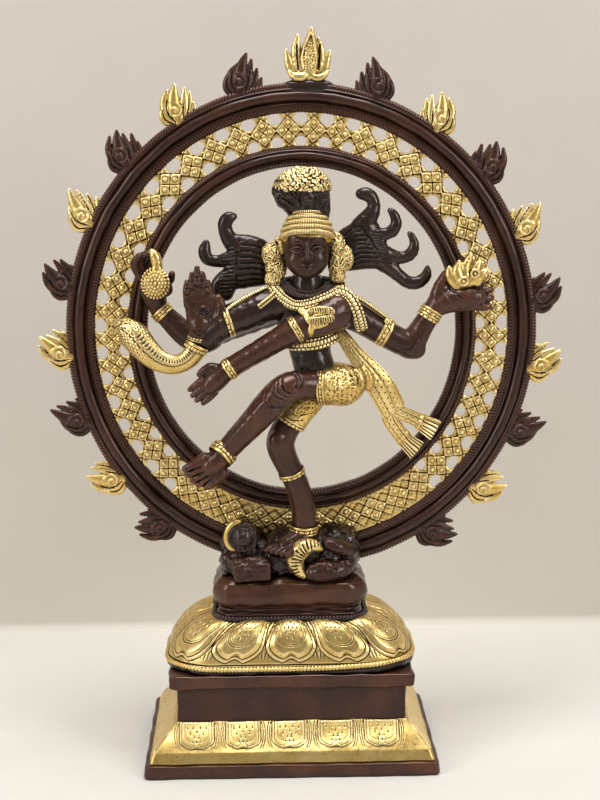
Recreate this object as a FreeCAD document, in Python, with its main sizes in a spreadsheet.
"""Brass nataraja statue, two-tone finish, as a FreeCAD parametric document.

Millimetres, +Z up, the figure faces -Y. The origin is the centre of the plinth's footprint, on the
ground. The statue is a hollow stepped plinth with a lotus cushion and a seat block, held together by
one stud from below, and an oval flame aureole pegged into the seat block with the dancing figure and
the dwarf brazed in front of it.
"""
import FreeCAD, Part
import math
import os

import Sketcher
from FreeCAD import Placement, Rotation, Vector

doc = FreeCAD.newDocument("nataraja_statue")

# ---------------------------------------------------------------- driving dimensions
DIMENSIONS = [
    ("foot_width", 123.0), ("foot_depth", 82.0), ("foot_height", 5.5),
    ("moulding_inset", 2.3), ("fillet_height", 4.5), ("slope_height", 10.2),
    ("die_width", 96.0), ("die_depth", 55.0), ("die_height", 15.0),
    ("slab_width", 102.4), ("slab_depth", 61.4), ("slab_height", 5.5),
    ("shell_wall", 3.0),
    ("lotus_width", 105.6), ("lotus_depth", 58.4), ("lotus_height", 21.0),
    ("lotus_top_width", 66.0), ("lotus_top_depth", 38.0), ("lotus_corner", 20.0),
    ("seat_width", 60.0), ("seat_depth", 34.0), ("seat_neck", 4.5), ("seat_bulge", 2.4),
    ("seat_top", 80.0), ("bead_wire", 1.3),
    ("stud_diameter", 8.0), ("stud_hole", 9.0), ("stud_bite", 11.0), ("nut_flats", 13.0),
    ("nut_height", 6.5), ("washer_diameter", 18.0), ("washer_height", 1.6), ("stud_tail", 3.0),
    ("peg_width", 7.0), ("peg_thickness", 4.0), ("peg_length", 7.0), ("peg_spacing", 24.0),
    ("ring_x", 6.3), ("ring_y", 5.0), ("ring_z", 180.4), ("ring_oval", 3.7),
    ("outer_rim", 99.0), ("outer_throat", 87.0), ("inner_rim", 73.3), ("inner_throat", 65.0),
    ("flange_height", 4.4), ("roll_height", 7.0), ("roll_edge", 2.6), ("lattice_height", 2.8),
    ("lattice_pitch", 7.8), ("lattice_hole", 1.75), ("lattice_solid", 38.0),
    ("flame_pitch", 16.2), ("flame_start", 2.0), ("flame_length", 15.2), ("crest_length", 21.2),
    ("flame_height", 4.0),
    ("shoulder_radius", 5.6), ("elbow_radius", 4.1), ("wrist_radius", 3.1), ("palm_radius", 5.2),
    ("finger_radius", 1.1), ("thigh_radius", 7.4), ("knee_radius", 5.9), ("calf_radius", 5.2),
    ("ankle_radius", 3.7), ("foot_radius", 3.4), ("toe_radius", 2.2),
    ("head_width", 20.4), ("head_depth", 19.0), ("head_height", 25.0), ("neck_radius", 4.6),
    ("bangle", 1.1), ("hair_strand", 2.3), ("hair_plane", -1.4), ("cobra_radius", 3.3),
]
sheet = doc.addObject("Spreadsheet::Sheet", "dims")
for row, (alias, value) in enumerate(DIMENSIONS, start=1):
    sheet.set(f"A{row}", alias)
    sheet.set(f"B{row}", str(value))
    sheet.setAlias(f"B{row}", alias)
doc.recompute()

parts = []          # every sub-part, in the order it is built


def dim(alias):
    """The value of one driving dimension."""
    return float(sheet.get(alias))


def finish(part, label):
    """Gives a sub-part the name its STEP file takes."""
    part.Label = label
    parts.append(part)
    return part


# heights of the courses, worked out from the driving dimensions
FILLET_Z = dim("foot_height")
SLOPE_Z = FILLET_Z + dim("fillet_height")
DIE_Z = SLOPE_Z + dim("slope_height")
SLAB_Z = DIE_Z + dim("die_height")
LOTUS_Z = SLAB_Z + dim("slab_height")
SEAT_Z = LOTUS_Z + dim("lotus_height")
SEAT_TOP = dim("seat_top")
FRONT_OF_RING = dim("ring_y") - dim("roll_height") / 2


# ---------------------------------------------------------------- sketch and body helpers
def new_body(name):
    return doc.addObject("PartDesign::Body", name)


def new_sketch(body, name, height="0"):
    """A sketch on the body's own XY plane, lifted by an expression of the sheet."""
    sketch = body.newObject("Sketcher::SketchObject", name)
    plane = next(f for f in body.Origin.OriginFeatures if f.Role == "XY_Plane")
    sketch.AttachmentSupport = [(plane, "")]
    sketch.MapMode = "FlatFace"
    sketch.setExpression(".AttachmentOffset.Base.z", height)
    return sketch


def bind(sketch, constraint, expression):
    """Adds a driving constraint and ties it to the sheet."""
    index = sketch.addConstraint(constraint)
    sketch.setExpression(f"Constraints[{index}]", expression)


def add_rectangle(sketch, width, depth):
    """A rectangle centred on the sketch's origin, its sides tied to two expressions."""
    half_w, half_d = 20.0, 15.0
    signs = [(-1, -1), (1, -1), (1, 1), (-1, 1)]
    corners = [Vector(sx * half_w, sy * half_d) for sx, sy in signs]
    lines = [sketch.addGeometry(Part.LineSegment(corners[i], corners[(i + 1) % 4])) for i in range(4)]
    for i in range(4):
        sketch.addConstraint(Sketcher.Constraint("Coincident", lines[i], 2, lines[(i + 1) % 4], 1))
        direction = "Horizontal" if i % 2 == 0 else "Vertical"
        sketch.addConstraint(Sketcher.Constraint(direction, lines[i]))
    sketch.addConstraint(Sketcher.Constraint("Symmetric", lines[0], 1, lines[2], 1, -1, 1))
    bind(sketch, Sketcher.Constraint("DistanceX", lines[0], 1, lines[0], 2, 2 * half_w), width)
    bind(sketch, Sketcher.Constraint("DistanceY", lines[1], 1, lines[1], 2, 2 * half_d), depth)


def add_circle(sketch, radius, centre=(0.0, 0.0)):
    """A circle whose radius is tied to an expression."""
    circle = sketch.addGeometry(Part.Circle(Vector(*centre, 0), Vector(0, 0, 1), 3.0))
    if centre == (0.0, 0.0):
        sketch.addConstraint(Sketcher.Constraint("Coincident", circle, 3, -1, 1))
    bind(sketch, Sketcher.Constraint("Radius", circle, 3.0), radius)


def add_oval(sketch, semi_axis):
    """An oval of the aureole: one semi-axis across, the sheet's ring_oval more along its height."""
    across, along = semi_axis, semi_axis + dim("ring_oval")
    sketch.addGeometry(Part.Ellipse(Vector(0, along, 0), Vector(across, 0, 0), Vector(0, 0, 0)))


def add_rounded_rectangle(sketch, width, depth, corner):
    """A centred rectangle with round corners, as four lines and four arcs."""
    x, y, turn = width / 2 - corner, depth / 2 - corner, math.pi / 2
    for i, (cx, cy) in enumerate([(x, y), (-x, y), (-x, -y), (x, -y)]):
        circle = Part.Circle(Vector(cx, cy, 0), Vector(0, 0, 1), corner)
        sketch.addGeometry(Part.ArcOfCircle(circle, i * turn, (i + 1) * turn))
    sketch.addGeometry(Part.LineSegment(Vector(x, y + corner), Vector(-x, y + corner)))
    sketch.addGeometry(Part.LineSegment(Vector(-x - corner, y), Vector(-x - corner, -y)))
    sketch.addGeometry(Part.LineSegment(Vector(-x, -y - corner), Vector(x, -y - corner)))
    sketch.addGeometry(Part.LineSegment(Vector(x + corner, -y), Vector(x + corner, y)))


def pad(body, sketch, length, both_sides=False):
    feature = body.newObject("PartDesign::Pad", "Pad")
    feature.Profile = sketch
    feature.setExpression("Length", length)
    feature.Midplane = both_sides
    sketch.Visibility = False
    body.Tip = feature
    doc.recompute()
    return feature


def pocket_up(body, sketch, depth):
    """Cuts upwards from the sketch's plane."""
    feature = body.newObject("PartDesign::Pocket", "Pocket")
    feature.Profile = sketch
    feature.Reversed = True
    feature.setExpression("Length", depth)
    body.Tip = feature
    before = feature.BaseFeature.Shape.Volume
    doc.recompute()
    if feature.Shape.Volume >= before:
        raise RuntimeError(f"{body.Name}: the pocket cut nothing")
    return feature


def loft(body, sketches, subtract=False):
    kind = "PartDesign::SubtractiveLoft" if subtract else "PartDesign::AdditiveLoft"
    feature = body.newObject(kind, "Loft")
    feature.Profile = sketches[0]
    feature.Sections = sketches[1:]
    feature.Ruled = False
    body.Tip = feature
    doc.recompute()
    return feature


def round_edges(body, base, radius, wanted):
    """Fillets the edges of the body's last feature that wanted(edge) picks."""
    names = [f"Edge{i}" for i, edge in enumerate(base.Shape.Edges, start=1) if wanted(edge)]
    feature = body.newObject("PartDesign::Fillet", "Fillet")
    feature.Base = (base, names)
    feature.setExpression("Radius", radius)
    body.Tip = feature
    doc.recompute()
    return feature


# ---------------------------------------------------------------- plinth
def build_foot():
    """The flat frame the statue rests on."""
    body = new_body("foot")
    frame = new_sketch(body, "foot_frame")
    add_rectangle(frame, "dims.foot_width", "dims.foot_depth")
    add_rectangle(frame, "dims.die_width - 2 * dims.shell_wall", "dims.die_depth - 2 * dims.shell_wall")
    slab = pad(body, frame, "dims.foot_height")
    body.Tip = slab
    outer = dim("foot_width") / 2 - 0.1

    def upper_outer_edge(edge):
        box = edge.BoundBox
        return box.ZMin > dim("foot_height") - 0.1 and (box.XMax > outer or box.XMin < -outer)

    round_edges(body, slab, "dims.foot_height * 0.15", upper_outer_edge)
    finish(body, "plinth_foot")


def build_moulding():
    """The gilt petal course: an upright fillet, then a slope up to the die, hollow underneath."""
    body = new_body("moulding")
    wide = "(dims.foot_width - 2 * dims.moulding_inset)"
    deep = "(dims.foot_depth - 2 * dims.moulding_inset)"
    bore_w, bore_d = "(dims.die_width - 2 * dims.shell_wall)", "(dims.die_depth - 2 * dims.shell_wall)"
    fillet = new_sketch(body, "fillet_outline", "dims.foot_height")
    add_rectangle(fillet, wide, deep)
    pad(body, fillet, "dims.fillet_height")
    low = new_sketch(body, "slope_foot", "dims.foot_height + dims.fillet_height")
    add_rectangle(low, wide + " - 2 * dims.moulding_inset", deep + " - 2 * dims.moulding_inset")
    high = new_sketch(body, "slope_head", "dims.foot_height + dims.fillet_height + dims.slope_height")
    add_rectangle(high, "dims.die_width", "dims.die_depth")
    doc.recompute()
    loft(body, [low, high])
    hollow_foot = new_sketch(body, "hollow_foot", "dims.foot_height")
    add_rectangle(hollow_foot, wide + " - 4 * dims.shell_wall", deep + " - 4 * dims.shell_wall")
    hollow_head = new_sketch(body, "hollow_head", f"{DIE_Z}")
    add_rectangle(hollow_head, bore_w, bore_d)
    doc.recompute()
    loft(body, [hollow_foot, hollow_head], subtract=True)
    finish(body, "petal_moulding")


def build_die():
    """The plain upright wall between the petal course and the slab."""
    body = new_body("die")
    frame = new_sketch(body, "die_frame", "dims.foot_height + dims.fillet_height + dims.slope_height")
    add_rectangle(frame, "dims.die_width", "dims.die_depth")
    add_rectangle(frame, "dims.die_width - 2 * dims.shell_wall", "dims.die_depth - 2 * dims.shell_wall")
    pad(body, frame, "dims.die_height")
    finish(body, "plinth_die")


def build_slab():
    """The slab that closes the plinth, with the hole the fixing stud passes through."""
    body = new_body("slab")
    top = "dims.foot_height + dims.fillet_height + dims.slope_height + dims.die_height"
    plate = new_sketch(body, "slab_plate", top)
    add_rectangle(plate, "dims.slab_width", "dims.slab_depth")
    add_circle(plate, "dims.stud_hole / 2")
    pad(body, plate, "dims.slab_height")
    finish(body, "cap_slab")


# ---------------------------------------------------------------- lotus and seat
# the dome's profile: the share of its height, and how far it has drawn in by then
LOTUS_SWELL = [(0.0, 0.0), (0.2, 0.025), (0.45, 0.15), (0.7, 0.38), (0.88, 0.65), (1.0, 1.0)]


def lotus_section(body, name, share, inset, wall=0.0):
    """One level of the lotus dome: a rounded rectangle that draws in towards the top."""
    width = dim("lotus_width") + inset * (dim("lotus_top_width") - dim("lotus_width")) - 2 * wall
    depth = dim("lotus_depth") + inset * (dim("lotus_top_depth") - dim("lotus_depth")) - 2 * wall
    corner = min(dim("lotus_corner"), 0.46 * depth) - wall
    height = LOTUS_Z + share * (dim("lotus_height") - wall)
    sketch = new_sketch(body, name, f"{height}")
    add_rounded_rectangle(sketch, width, depth, corner)
    return sketch


def build_lotus():
    """The lotus cushion, a domed shell with the stud hole through its crown."""
    body = new_body("lotus")
    outer = [lotus_section(body, f"outer_{i}", *level) for i, level in enumerate(LOTUS_SWELL)]
    doc.recompute()
    loft(body, outer)
    wall = dim("shell_wall")
    inner = [lotus_section(body, f"inner_{i}", *level, wall) for i, level in enumerate(LOTUS_SWELL)]
    doc.recompute()
    loft(body, inner, subtract=True)
    hole = new_sketch(body, "stud_hole", f"{LOTUS_Z}")
    add_circle(hole, "dims.stud_hole / 2")
    doc.recompute()
    pocket_up(body, hole, "dims.lotus_height + 1")
    finish(body, "lotus_cushion")


def build_seat():
    """The block above the lotus: a recessed neck, a swelling belly and the tapped hole for the stud."""
    body = new_body("seat")
    width, depth, swell = dim("seat_width"), dim("seat_depth"), dim("seat_bulge")
    neck, rise = dim("seat_neck"), SEAT_TOP - SEAT_Z
    levels = [(0.0, 0.0), (neck, 0.0), (neck + 0.1 * rise, swell), (0.62 * rise, 2 * swell), (rise, swell)]
    sections = []
    for i, (height, extra) in enumerate(levels):
        sketch = new_sketch(body, f"seat_{i}", f"{SEAT_Z + height}")
        add_rounded_rectangle(sketch, width + extra, depth + extra, 0.36 * depth)
        sections.append(sketch)
    doc.recompute()
    loft(body, sections[:2])
    loft(body, sections[1:])
    hole = new_sketch(body, "tapped_hole", f"{SEAT_Z}")
    add_circle(hole, "dims.stud_diameter / 2")
    doc.recompute()
    pocket_up(body, hole, "dims.stud_bite + 0.5")
    finish(body, "seat_block")


def bead_wire(label, width, depth, corner, height):
    """A round wire bent once around the foot of a course, which the beading is rolled on."""
    radius = dim("bead_wire")
    x, y = width / 2 - corner, depth / 2 - corner
    corners = [(x, y), (-x, y), (-x, -y), (x, -y)]
    edges = []
    for i, (cx, cy) in enumerate(corners):
        start = math.pi / 2 * i
        a, m, b = [Vector(cx + corner * math.cos(start + s), cy + corner * math.sin(start + s), height)
                   for s in (0, math.pi / 4, math.pi / 2)]
        nx, ny = corners[(i + 1) % 4]
        follow = start + math.pi / 2
        after = Vector(nx + corner * math.cos(follow), ny + corner * math.sin(follow), height)
        edges += [Part.Arc(a, m, b).toShape(), Part.LineSegment(b, after).toShape()]
    spine = Part.Wire(edges)
    section = Part.Wire(Part.makeCircle(radius, Vector(x + corner, y, height), Vector(0, 1, 0)))
    wire = doc.addObject("Part::Feature", label)
    wire.Shape = spine.makePipeShell([section], True, False)
    finish(wire, label)


# ---------------------------------------------------------------- fixing from below
def build_fixing():
    """Stud, washer and nut that draw the seat block and the lotus down on the plinth's slab."""
    washer = new_body("washer")
    ring = new_sketch(washer, "washer_ring", f"{SLAB_Z} - dims.washer_height")
    add_circle(ring, "dims.washer_diameter / 2")
    add_circle(ring, "dims.stud_hole / 2")
    pad(washer, ring, "dims.washer_height")
    finish(washer, "fixing_washer")

    nut = new_body("nut")
    hexagon = new_sketch(nut, "nut_hexagon", f"{SLAB_Z} - dims.washer_height - dims.nut_height")
    corner = dim("nut_flats") / math.sqrt(3)
    turns = [k * math.pi / 3 for k in range(6)]
    points = [Vector(corner * math.cos(turn), corner * math.sin(turn)) for turn in turns]
    for k in range(6):
        hexagon.addGeometry(Part.LineSegment(points[k], points[(k + 1) % 6]))
    add_circle(hexagon, "dims.stud_diameter / 2 + 0.05")
    pad(nut, hexagon, "dims.nut_height")
    finish(nut, "fixing_nut")

    stud = new_body("stud")
    bottom = SLAB_Z - dim("washer_height") - dim("nut_height") - dim("stud_tail")
    circle = new_sketch(stud, "stud_circle", f"{bottom}")
    add_circle(circle, "dims.stud_diameter / 2")
    pad(stud, circle, f"{SEAT_Z - bottom} + dims.stud_bite")
    finish(stud, "fixing_stud")


# ---------------------------------------------------------------- aureole
AUREOLE = Placement(Vector(dim("ring_x"), dim("ring_y"), dim("ring_z")), Rotation(Vector(1, 0, 0), 90))
FOOT_CUT = SEAT_TOP - dim("ring_z")        # the aureole's feet stand on the seat block


def build_ring(label, rim, throat, flange):
    """An oval ring: a thin flange with a raised, rounded roll along its middle."""
    body = new_body(label + "_body")
    plate = new_sketch(body, "flange_outline")
    add_oval(plate, dim(rim))
    add_oval(plate, dim(throat))
    pad(body, plate, "dims.flange_height", both_sides=True)
    roll = new_sketch(body, "roll_outline")
    add_oval(roll, dim(rim) - flange)
    add_oval(roll, dim(throat) + flange)
    thick = pad(body, roll, "dims.roll_height", both_sides=True)
    face = dim("roll_height") / 2

    def roll_rim(edge):
        box = edge.BoundBox
        return abs(box.ZMax - box.ZMin) < 0.01 and abs(abs(box.ZMax) - face) < 0.01

    round_edges(body, thick, "dims.roll_edge * 0.45", roll_rim)
    return body


def trim_foot(body, label):
    """Cuts an aureole ring off level with the top of the seat block."""
    across, down, through = 240, 60, 30
    cutter = doc.addObject("Part::Box", label + "_foot_cutter")
    cutter.Length, cutter.Width, cutter.Height = across, down, through
    body.Placement = Placement()
    cutter.Placement = Placement(Vector(-across / 2, FOOT_CUT - down, -through / 2), Rotation())
    cut = doc.addObject("Part::Cut", label + "_cut")
    cut.Base, cut.Tool = body, cutter
    cut.Placement = AUREOLE
    doc.recompute()
    finish(cut, label)


def build_lattice():
    """The gilt band between the rings, drilled in pairs except near the seat, where it is whole."""
    body = new_body("lattice")
    band = new_sketch(body, "band")
    add_oval(band, dim("inner_rim"))
    add_oval(band, dim("outer_throat"))
    reach = 180 - dim("lattice_solid")
    count = int(2 * reach / dim("lattice_pitch"))
    width = dim("outer_throat") - dim("inner_rim")
    for k in range(count + 1):
        angle = math.radians((k - count / 2) * dim("lattice_pitch"))
        for share, scale in ((0.2, 0.85), (0.8, 1.1)):
            across = dim("inner_rim") + share * width
            centre = Vector(across * math.sin(angle), (across + dim("ring_oval")) * math.cos(angle), 0)
            band.addGeometry(Part.Circle(centre, Vector(0, 0, 1), scale * dim("lattice_hole")))
    pad(body, band, "dims.lattice_height", both_sides=True)
    trim_foot(body, "lattice_band")


def flame_outline(length):
    """A five-tongued flame standing on the X axis: tips and notches on a fan, joined by arcs."""
    tips = [(-62, 0.60), (-30, 0.80), (0, 1.0), (27, 0.78), (58, 0.56)]
    notches = [(-45, 0.46), (-14, 0.58), (13, 0.58), (42, 0.44)]
    fan = [tips[0]]
    for notch, tip in zip(notches, tips[1:]):
        fan += [notch, tip]
    foot = 0.30 * length
    points = [Vector(-foot, 0)]
    points += [Vector(r * length * math.sin(math.radians(a)) * 0.75, r * length * math.cos(math.radians(a)))
               for a, r in fan]
    points.append(Vector(foot, 0))
    edges = []
    for i, (a, b) in enumerate(zip(points, points[1:])):
        side = Vector(b.y - a.y, a.x - b.x) * (-0.10 if i % 2 == 0 else 0.06)
        edges.append(Part.Arc(a, (a + b) * 0.5 + side, b).toShape())
    edges.append(Part.LineSegment(points[-1], points[0]).toShape())
    return Part.Face(Part.Wire(edges))


def flame(step):
    """One flame, at its step along the rim, leaning towards the top of the aureole."""
    angle = dim("flame_start") + step * dim("flame_pitch")
    length = dim("crest_length") if step == 0 else dim("flame_length")
    lean = 0.0 if step == 0 else math.copysign(9 + 0.12 * abs(angle), angle)
    height = dim("flame_height")
    solid = flame_outline(length).extrude(Vector(0, 0, height))
    solid.translate(Vector(0, 0, -height / 2))
    turn = math.radians(angle)
    across = dim("outer_rim")
    base = Vector(across * math.sin(turn), (across + dim("ring_oval")) * math.cos(turn), 0)
    solid.Placement = AUREOLE * Placement(base, Rotation(Vector(0, 0, 1), -angle + lean)) * solid.Placement
    return solid


def build_flames():
    groups = {"crest_flame": [0], "gilt_flames": [k for k in range(-8, 9) if k and k % 2 == 0],
              "dark_flames": [k for k in range(-9, 10) if k % 2]}
    rim = named("outer_ring").Shape
    for label, steps in groups.items():
        group = doc.addObject("Part::Feature", label)
        group.Shape = Part.makeCompound([flame(step).cut(rim).Solids[0] for step in steps])
        finish(group, label)


def named(label):
    return next(part for part in parts if part.Label == label)


def fit_around(label, *neighbours):
    """Cuts a piece back to the faces of the pieces it is joined to."""
    for neighbour in neighbours:
        piece = named(label)
        fitted = doc.addObject("Part::Cut", label + "_fitted")
        fitted.Base, fitted.Tool = piece, named(neighbour)
        fitted.Refine = False
        doc.recompute()
        parts[parts.index(piece)] = fitted
        piece.Label = label + "_blank"
        fitted.Label = label


def build_tenons():
    """Two pegs under the aureole's feet, let into mortises in the seat block."""
    middle_x = 4.0
    pegs = []
    for side in (-1, 1):
        peg = doc.addObject("Part::Box", "peg")
        peg.setExpression("Length", "dims.peg_width")
        peg.setExpression("Width", "dims.peg_thickness")
        peg.setExpression("Height", "dims.peg_length")
        corner_x = middle_x + side * dim("peg_spacing") / 2 - dim("peg_width") / 2
        corner_y = dim("ring_y") - dim("peg_thickness") / 2
        peg.Placement = Placement(Vector(corner_x, corner_y, SEAT_TOP - dim("peg_length")), Rotation())
        pegs.append(peg)
    pair = doc.addObject("Part::Compound", "pegs")
    pair.Links = pegs
    doc.recompute()
    finish(pair, "aureole_tenons")
    fit_around("seat_block", "aureole_tenons")


# ---------------------------------------------------------------- figure helpers
def section_at(point, tangent, radius):
    """A circle across a limb, its radius tied to the sheet. Its seam stays towards +Y."""
    circle = doc.addObject("Part::Circle", "section")
    circle.setExpression("Radius", radius)
    circle.Placement = Placement(point, Rotation(Vector(0, 1, 0), Vector(), tangent, "ZXY"))
    return circle


def limb(label, stations, start=None):
    """A limb as a loft through circles. A station is (x, y, z, radius expression); start turns the first."""
    points = [Vector(*s[:3]) for s in stations]
    sections = []
    for i, station in enumerate(stations):
        before, after = points[max(i - 1, 0)], points[min(i + 1, len(points) - 1)]
        tangent = Vector(*start) if start and i == 0 else after - before
        sections.append(section_at(points[i], tangent, station[3]))
    body = doc.addObject("Part::Loft", label)
    body.Sections = sections
    body.Solid = True
    doc.recompute()
    return finish(body, label)


def ellipse_loft(label, levels):
    """A trunk as a loft through level ellipses. A level is (x, y, z, half width, half depth)."""
    sections = []
    for x, y, z, wide, deep in levels:
        ellipse = doc.addObject("Part::Ellipse", "level")
        ellipse.MajorRadius, ellipse.MinorRadius = max(wide, deep), min(wide, deep)
        turn = 0 if wide >= deep else 90
        ellipse.Placement = Placement(Vector(x, y, z), Rotation(Vector(0, 0, 1), turn))
        sections.append(ellipse)
    body = doc.addObject("Part::Loft", label)
    body.Sections = sections
    body.Solid = True
    doc.recompute()
    return finish(body, label)


def egg(label, centre, half_sizes, tilt=0.0):
    """An ellipsoid with half sizes across X, Y and Z, tilted about Y by degrees."""
    body = doc.addObject("Part::Ellipsoid", label)
    body.Radius2, body.Radius3, body.Radius1 = half_sizes
    body.Placement = Placement(Vector(*centre), Rotation(Vector(0, 1, 0), tilt))
    doc.recompute()
    return body


def hand(label, wrist, knuckles, spread, curl=(0, 0, 0)):
    """A hand: a flattened palm, four fingers fanned about its direction and a thumb."""
    wrist, knuckles = Vector(*wrist), Vector(*knuckles)
    along = (knuckles - wrist).normalize()
    centre = (wrist + knuckles) * 0.5
    palm = doc.addObject("Part::Ellipsoid", "palm")
    palm.setExpression("Radius2", "dims.palm_radius")
    palm.setExpression("Radius3", "dims.palm_radius * 0.5")
    palm.Radius1 = (knuckles - wrist).Length * 0.62
    palm.Placement = Placement(centre, Rotation(Vector(), Vector(0, 1, 0), along, "ZYX"))
    across = along.cross(Vector(0, 1, 0)).normalize()
    pieces = [palm]
    for i in range(5):
        thumb = i == 4
        offset = across * ((i - 1.5) * 2.3 if not thumb else 4.0 * spread)
        root = centre + offset + along * ((knuckles - wrist).Length * (0.42 if not thumb else -0.05))
        finger = doc.addObject("Part::Cone", "finger")
        finger.setExpression("Radius1", "dims.finger_radius * 1.15")
        finger.setExpression("Radius2", "dims.finger_radius * 0.8")
        finger.Height = (8.0, 9.0, 8.4, 6.8, 6.0)[i]
        lean = along + across * ((i - 1.5) * 0.10 if not thumb else 0.7 * spread) + Vector(*curl)
        finger.Placement = Placement(root, Rotation(Vector(0, 0, 1), lean))
        pieces.append(finger)
    return fuse(label, pieces)


def bangle(centre, direction, limb_radius, wire="dims.bangle"):
    """A ring that sits on a limb: the tube just touches the skin."""
    ring = doc.addObject("Part::Torus", "bangle")
    ring.setExpression("Radius2", wire)
    ring.setExpression("Radius1", f"{limb_radius} + {wire}")
    ring.Placement = Placement(Vector(*centre), Rotation(Vector(0, 0, 1), Vector(*direction)))
    return ring


def fuse(label, members):
    """Members cast as one piece."""
    together = doc.addObject("Part::MultiFuse", label)
    together.Shapes = members
    together.Refine = False
    doc.recompute()
    return finish(together, label)


def group(label, members):
    """Alike pieces that share one name."""
    together = doc.addObject("Part::Compound", label)
    together.Links = members
    doc.recompute()
    return finish(together, label)


def strand(label, paths, whole=False):
    """Tapering strands, each a loft through circles along (x, y, z, radius) points; whole fuses them."""
    lofts = []
    for path in paths:
        points = [Vector(*p[:3]) for p in path]
        sections = []
        for i, p in enumerate(path):
            tangent = points[min(i + 1, len(path) - 1)] - points[max(i - 1, 0)]
            sections.append(section_at(points[i], tangent, f"{p[3]}"))
        piece = doc.addObject("Part::Loft", "strand")
        piece.Sections = sections
        piece.Solid = True
        lofts.append(piece)
    return fuse(label, lofts) if whole else group(label, lofts)


# ---------------------------------------------------------------- figure
TRUNK_Y = -9.0           # the figure's middle plane, in front of the aureole
ARM_FRONT_Y = -17.0      # the crossing arm and the lifted leg pass in front of the trunk


def build_trunk():
    ellipse_loft("torso", [
        (10.0, TRUNK_Y, 166.0, 9.2, 6.6), (9.4, TRUNK_Y, 173.0, 8.0, 6.2), (9.2, TRUNK_Y, 181.0, 11.2, 7.2),
        (8.9, TRUNK_Y, 189.0, 15.0, 7.8), (8.4, TRUNK_Y, 195.5, 16.0, 6.2), (8.0, TRUNK_Y, 198.0, 7.5, 5.0)])
    limb("neck", [
        (8.0, TRUNK_Y, 198.3, "dims.neck_radius"), (7.7, TRUNK_Y, 206.0, "dims.neck_radius * 0.92")])
    size = (dim("head_width") / 2, dim("head_depth") / 2, dim("head_height") / 2)
    finish(egg("head", (7.6, -10.0, 215.5), size), "head")
    ellipse_loft("loincloth", [
        (12.5, TRUNK_Y, 151.0, 5.5, 5.0), (14.5, TRUNK_Y, 155.5, 10.0, 7.6),
        (15.5, TRUNK_Y, 160.5, 12.0, 8.2), (13.8, TRUNK_Y, 166.0, 10.6, 7.2)])


def build_head_dress():
    ellipse_loft("hair_bun", [
        (8.8, -8.5, 230.6, 9.0, 7.4), (8.8, -8.0, 233.6, 9.6, 7.6), (5.7, -7.0, 240.4, 12.4, 8.2)])
    ellipse_loft("bun_flowers", [
        (5.7, -7.0, 240.5, 12.6, 8.4), (6.8, -5.5, 245.2, 9.8, 7.4), (7.6, -3.5, 248.2, 6.2, 5.0)])
    cap = ellipse_loft("cap_core", [
        (7.9, -9.0, 219.6, 12.2, 11.0), (7.9, -9.0, 225.0, 11.6, 10.4), (8.4, -8.8, 230.6, 9.4, 8.0)])
    parts.remove(cap)
    turns = [cap]
    for height, radius in ((221.4, 11.2), (224.4, 10.8), (227.4, 10.0)):
        turn = doc.addObject("Part::Torus", "cap_turn")
        turn.Radius1, turn.Radius2 = radius, 1.5
        turn.Placement = Placement(Vector(7.9, -9.0, height), Rotation())
        turns.append(turn)
    fuse("headdress", turns)
    finish(egg("lock", (-5.6, -8.0, 210.3), (3.8, 4.2, 9.8), 6), "left_ear_tassel")
    finish(egg("lock", (22.2, -8.0, 211.6), (4.3, 4.2, 10.6), -4), "right_ear_tassel")


def hair_fan(label, sweeps):
    """Flying hair: strands from behind the head, each a curve (root, pull, tip) that hooks upwards."""
    thick, plane = dim("hair_strand"), dim("hair_plane")
    paths = []
    for root, pull, tip in sweeps:
        path = []
        for step in range(6):
            u = step / 5
            x, z = (root[i] * (1 - u) ** 2 + 2 * pull[i] * u * (1 - u) + tip[i] * u * u for i in (0, 1))
            path.append((x, plane, z, thick * (1 - 0.55 * u * u)))
        paths.append(path)
    strand(label, paths)


def build_hair():
    hair_fan("right_hair_fan", [
        ((15.0, 221.0), (48.0, 222.0), (31.5, 238.2)), ((15.0, 216.6), (56.0, 217.0), (44.0, 231.0)),
        ((15.0, 212.2), (60.0, 203.0), (51.6, 220.4)), ((15.0, 207.8), (56.0, 186.0), (58.2, 207.6))])
    hair_fan("left_hair_fan", [
        ((0.0, 219.0), (-34.0, 215.0), (-23.4, 229.0)), ((0.0, 213.8), (-38.0, 206.0), (-33.2, 218.4)),
        ((0.0, 208.6), (-20.0, 205.0), (-30.0, 203.0))])


# joints of the limbs: (x, y, z)
SHOULDER_L, SHOULDER_R = (-6.5, TRUNK_Y, 192.0), (24.5, TRUNK_Y, 191.5)
ELBOW_L, WRIST_L = (-33.5, -12.0, 177.5), (-36.8, -16.0, 181.5)
REAR_ELBOW_L, REAR_WRIST_L = (-33.0, -5.0, 178.5), (-51.0, -3.0, 190.5)
REAR_ELBOW_R, REAR_WRIST_R = (53.0, -7.0, 174.2), (58.6, -4.5, 188.6)
CROSS_ELBOW, CROSS_WRIST = (-1.5, ARM_FRONT_Y - 1, 181.2), (-24.8, ARM_FRONT_Y, 168.4)
HIP, KNEE, ANKLE = (13.0, -16.0, 159.0), (-2.0, -22.0, 161.0), (-27.6, -17.0, 133.4)
STAND_HIP, STAND_KNEE, STAND_ANKLE = (7.0, TRUNK_Y, 152.5), (-4.6, -13.5, 138.0), (5.0, TRUNK_Y, 101.8)
HEEL = (5.4, TRUNK_Y, 97.6)


def between(a, b, share):
    return tuple(p + share * (q - p) for p, q in zip(a, b))


def towards(a, b):
    return tuple(q - p for p, q in zip(a, b))


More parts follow.
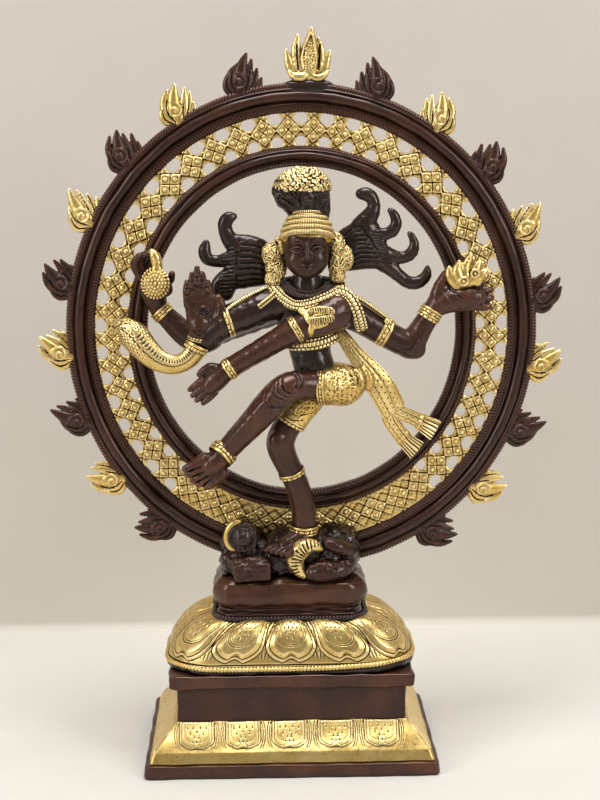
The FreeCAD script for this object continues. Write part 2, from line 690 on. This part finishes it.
def build_arms():
    upper, elbow, wrist = "dims.shoulder_radius", "dims.elbow_radius", "dims.wrist_radius"
    limb("front_right_arm", [
        (*SHOULDER_L, upper), (*between(SHOULDER_L, ELBOW_L, 0.55), elbow + " * 1.12"),
        (*ELBOW_L, elbow), (*WRIST_L, wrist)])
    limb("rear_right_arm", [
        (*between(SHOULDER_L, REAR_ELBOW_L, 0.8), elbow + " * 0.8"), (*REAR_ELBOW_L, elbow + " * 0.9"),
        (*between(REAR_ELBOW_L, REAR_WRIST_L, 0.4), elbow), (*REAR_WRIST_L, wrist)])
    limb("rear_left_arm", [
        (*between(SHOULDER_R, REAR_ELBOW_R, 0.12), upper),
        (*between(SHOULDER_R, REAR_ELBOW_R, 0.6), elbow + " * 1.1"),
        (*between(SHOULDER_R, REAR_ELBOW_R, 0.93), elbow),
        (*between(REAR_ELBOW_R, REAR_WRIST_R, 0.25), elbow),
        (*REAR_WRIST_R, wrist)])
    limb("front_left_arm", [
        (22.5, ARM_FRONT_Y + 1, 190.2, upper), (10.0, ARM_FRONT_Y - 1, 186.5, upper + " * 0.95"),
        (*CROSS_ELBOW, elbow + " * 1.12"), (*CROSS_WRIST, wrist)])
    hand("blessing_hand", WRIST_L, (-34.0, -16.5, 195.5), 1)
    hand("drum_hand", REAR_WRIST_L, (-57.0, -2.5, 201.5), -1)
    hand("flame_hand", REAR_WRIST_R, (68.5, -4.5, 191.5), -1)
    hand("pointing_hand", CROSS_WRIST, (-32.0, ARM_FRONT_Y, 162.0), -1, (0, 0, -0.05))


def build_legs():
    thigh, knee, calf, ankle = (f"dims.{n}_radius" for n in ("thigh", "knee", "calf", "ankle"))
    limb("lifted_leg", [
        (*HIP, thigh + " * 0.92"), (*between(HIP, KNEE, 0.6), knee + " * 1.08"), (-4.4, -21.5, 158.6, knee),
        (*between(KNEE, ANKLE, 0.45), calf), (*ANKLE, ankle)])
    limb("lifted_foot", [
        (*ANKLE, ankle + " * 1.02"), (-32.6, -15.0, 129.4, "dims.foot_radius * 1.15"),
        (-36.8, -14.0, 126.2, "dims.foot_radius * 1.15"), (-40.2, -13.4, 123.8, "dims.toe_radius * 1.1")])
    limb("standing_leg", [
        (*between(STAND_HIP, STAND_KNEE, 0.42), knee + " * 1.02"), (*STAND_KNEE, knee),
        (*between(STAND_KNEE, STAND_ANKLE, 0.4), calf),
        (*between(STAND_KNEE, STAND_ANKLE, 0.8), ankle + " * 1.12"),
        (*STAND_ANKLE, ankle), (*HEEL, ankle)])
    limb("standing_foot", [
        (*HEEL, ankle), (2.4, -9.8, 95.4, "dims.foot_radius"), (-2.4, -11.0, 94.2, "dims.foot_radius"),
        (-8.0, -12.0, 92.9, "dims.toe_radius")], start=towards(STAND_ANKLE, HEEL))
    limb("thigh_cloth", [
        (*between(STAND_HIP, STAND_KNEE, -0.05), thigh),
        (*between(STAND_HIP, STAND_KNEE, 0.5), thigh + " * 0.93")])


def build_ornaments():
    """Bangles, armlets, anklets and cords, as rings and rods that rest on the limbs."""
    wrist, elbow, ankle = "dims.wrist_radius", "dims.elbow_radius", "dims.ankle_radius"
    group("wristlets", [
        bangle(between(CROSS_ELBOW, CROSS_WRIST, 0.95), towards(CROSS_ELBOW, CROSS_WRIST), wrist),
        bangle(between(REAR_ELBOW_L, REAR_WRIST_L, 0.95), towards(REAR_ELBOW_L, REAR_WRIST_L), wrist),
        bangle(between(REAR_ELBOW_R, REAR_WRIST_R, 0.92), towards(REAR_ELBOW_R, REAR_WRIST_R), wrist),
        bangle(between(ELBOW_L, WRIST_L, 0.8), towards(ELBOW_L, WRIST_L), wrist + " * 1.05")])
    group("armlets", [
        bangle(between(SHOULDER_L, ELBOW_L, 0.62), towards(SHOULDER_L, ELBOW_L), elbow + " * 1.1"),
        bangle(between(SHOULDER_R, REAR_ELBOW_R, 0.68), towards(SHOULDER_R, REAR_ELBOW_R), elbow + " * 1.1"),
        bangle((0.0, ARM_FRONT_Y - 1.0, 182.4), towards((10.0, ARM_FRONT_Y, 186.5), CROSS_ELBOW),
               elbow + " * 1.12")])
    group("anklets", [
        bangle(between(KNEE, ANKLE, 0.92), towards(KNEE, ANKLE), ankle + " * 1.1"),
        bangle(between(STAND_KNEE, STAND_ANKLE, 0.96), towards(STAND_KNEE, STAND_ANKLE), ankle + " * 1.05")])
    group("calf_band", [
        bangle(between(STAND_KNEE, STAND_ANKLE, 0.4), towards(STAND_KNEE, STAND_ANKLE),
               "dims.calf_radius + 0.1")])
    necklace = doc.addObject("Part::Torus", "necklace_ring")
    necklace.Radius1, necklace.Radius2 = 9.6, 1.3
    necklace.Placement = Placement(Vector(8.0, -12.0, 198.6), Rotation(Vector(1, 0, 0), 24))
    group("necklace", [necklace])
    strand("shoulder_ribbon", [
        [(24.0, -13.6, 198.4, 1.2), (28.5, -15.2, 192.5, 1.7), (32.4, -14.2, 184.6, 1.3)]])
    breast = doc.addObject("Part::Torus", "breast_ring")
    breast.Radius1, breast.Radius2 = 10.2, 1.2
    breast.Placement = Placement(Vector(9.4, TRUNK_Y, 178.6), Rotation(Vector(0, 1, 0), -10))
    group("breast_band", [breast])


def build_sash_and_attributes():
    """The flying sash, the cobra on the forearm, the drum and the flame in the rear hands."""
    strand("sash", [
        [(18.5, -11.0, 182.0, 2.2), (28.5, -9.0, 169.5, 3.6), (36.0, -6.5, 158.5, 4.6),
         (43.0, -4.0, 148.5, 3.8)],
        [(41.0, -4.2, 149.5, 2.6), (51.0, -2.4, 144.4, 2.5), (62.0, -1.4, 140.2, 2.8)],
        [(41.4, -4.2, 149.0, 2.8), (46.5, -2.8, 138.5, 2.8), (52.4, -2.0, 129.6, 3.3)]], whole=True)
    cobra = dim("cobra_radius")
    strand("cobra", [[
        (-36.2, -16.0, 175.6, cobra), (-42.5, -14.5, 170.3, cobra), (-49.5, -12.0, 168.6, cobra),
        (-56.8, -8.5, 172.2, cobra * 1.1), (-63.6, -5.5, 178.4, cobra * 1.5),
        (-69.4, -3.0, 185.6, cobra * 1.1)]])
    ends = []
    for side in (-1, 1):
        cone = doc.addObject("Part::Cone", "drum_half")
        cone.Radius1, cone.Radius2, cone.Height = 2.4, 5.2, 5.6
        axis = Vector(0.35 * side, -0.1 * side, 1.0 * side)
        cone.Placement = Placement(Vector(-54.4, -8.0, 202.0), Rotation(Vector(0, 0, 1), axis))
        ends.append(cone)
    fuse("hourglass_drum", ends)
    fire = doc.addObject("Part::Feature", "hand_fire")
    solid = flame_outline(15.0).extrude(Vector(0, 0, 6.0))
    solid.Placement = Placement(Vector(73.5, -5.0, 197.4), Rotation(Vector(1, 0, 0), 90))
    fire.Shape = solid
    finish(fire, "hand_flame")


# ---------------------------------------------------------------- dwarf
def build_dwarf():
    """The dwarf lying across the seat block under the standing foot, head to the left."""
    rock = doc.addObject("Part::Box", "rock_blank")
    rock.Length, rock.Width, rock.Height = 56, FRONT_OF_RING + 15.4, 6
    rock.Placement = Placement(Vector(-28, -15.5, SEAT_TOP), Rotation())
    soft = doc.addObject("Part::Fillet", "rock")
    soft.Base = rock
    doc.recompute()
    upright = [i for i, e in enumerate(rock.Shape.Edges, start=1) if e.BoundBox.ZLength > 5]
    soft.Edges = [(i, 3.0, 3.0) for i in upright]
    doc.recompute()
    finish(soft, "dwarf_bed")
    top = SEAT_TOP + 6
    ellipse_loft("dwarf_trunk", [
        (-2.0, -7.6, top, 22.0, 6.8), (-1.0, -7.6, top + 3.6, 17.0, 5.6), (0.0, -7.6, top + 4.55, 8.0, 3.6)])
    head = doc.addObject("Part::Cylinder", "coiled_hair")
    head.Radius, head.Height = 6.4, 7.0
    head.Placement = Placement(Vector(-20.4, -4.6, 94.2), Rotation(Vector(1, 0, 0), 90))
    doc.recompute()
    finish(head, "dwarf_head")
    limb("dwarf_arm", [
        (-28.0, -17.8, 81.8, "2.2"), (-22.0, -18.0, 81.8, "2.3"), (-15.5, -17.8, 81.4, "2.0")])
    limb("dwarf_leg", [(24.5, -16.4, 82.4, "3.6"), (15.0, -17.0, 82.6, "4.6"), (8.6, -16.6, 82.6, "3.4")])
    finish(egg("wrap", (7.6, -14.2, 90.0), (5.2, 2.6, 6.6), 30), "dwarf_loincloth")


# ---------------------------------------------------------------- build, check, export
# each piece is cut back to the faces of the pieces named after it
JOINS = [
    ("lotus_beading", "lotus_cushion"), ("front_left_arm", "torso"), ("front_right_arm", "torso"),
    ("rear_right_arm", "front_right_arm"), ("rear_left_arm", "torso"),
    ("neck", "head"), ("headdress", "head"),
    ("left_ear_tassel", "head", "headdress"), ("right_ear_tassel", "head", "headdress"),
    ("hair_bun", "headdress"),
    ("left_hair_fan", "head", "headdress"), ("right_hair_fan", "head", "headdress"),
    ("lifted_leg", "loincloth"), ("thigh_cloth", "loincloth", "lifted_leg"),
    ("lifted_foot", "lifted_leg"), ("blessing_hand", "front_right_arm"), ("drum_hand", "rear_right_arm"),
    ("flame_hand", "rear_left_arm"), ("pointing_hand", "front_left_arm"),
    ("wristlets", "front_left_arm", "rear_left_arm", "rear_right_arm", "front_right_arm", "blessing_hand",
     "drum_hand", "flame_hand"),
    ("armlets", "torso", "front_left_arm", "rear_left_arm", "front_right_arm"),
    ("anklets", "lifted_leg", "standing_leg", "standing_foot"),
    ("necklace", "torso", "neck"), ("shoulder_ribbon", "torso", "front_left_arm"),
    ("breast_band", "torso", "front_left_arm", "armlets"), ("sash", "torso", "breast_band"),
    ("cobra", "wristlets", "blessing_hand", "front_right_arm"),
    ("hourglass_drum", "drum_hand"), ("hand_flame", "flame_hand"),
    ("dwarf_arm", "seat_block", "dwarf_bed"), ("dwarf_leg", "seat_block", "dwarf_bed"),
    ("dwarf_loincloth", "dwarf_leg", "dwarf_bed", "dwarf_trunk"), ("standing_leg", "thigh_cloth"),
    ("dwarf_head", "dwarf_trunk"),
]


def build_all():
    build_foot()
    build_moulding()
    build_die()
    build_slab()
    build_lotus()
    build_seat()
    wire = dim("bead_wire")
    bead_wire("lotus_beading", dim("lotus_width") + 2 * wire, dim("lotus_depth") + 2 * wire,
              dim("lotus_corner") + wire, LOTUS_Z + wire)
    bead_wire("seat_beading", dim("seat_width") + 2 * wire, dim("seat_depth") + 2 * wire,
              0.36 * dim("seat_depth") + wire, SEAT_Z + wire)
    build_fixing()
    for label, rim, throat, flange in (("outer_ring", "outer_rim", "outer_throat", 3.0),
                                       ("inner_ring", "inner_rim", "inner_throat", 1.8)):
        trim_foot(build_ring(label, rim, throat, flange), label)
    build_lattice()
    build_flames()
    build_tenons()
    build_trunk()
    build_head_dress()
    build_hair()
    build_arms()
    build_legs()
    build_ornaments()
    build_sash_and_attributes()
    build_dwarf()
    for piece, *neighbours in JOINS:
        fit_around(piece, *neighbours)


def check_and_export():
    doc.recompute()
    failed = [o.Label for o in doc.Objects if {"Invalid", "Error"} & set(o.State)]
    if failed:
        raise RuntimeError(f"objects that failed to build: {failed}")
    for part in parts:
        if part.Shape.isNull() or not part.Shape.isValid() or not part.Shape.Solids:
            raise RuntimeError(f"{part.Label} has no valid solid")
    os.makedirs("parts", exist_ok=True)
    for part in parts:
        part.Shape.exportStep(os.path.join("parts", part.Label + ".step"))
    print(len(parts), "parts written")


build_all()
check_and_export()
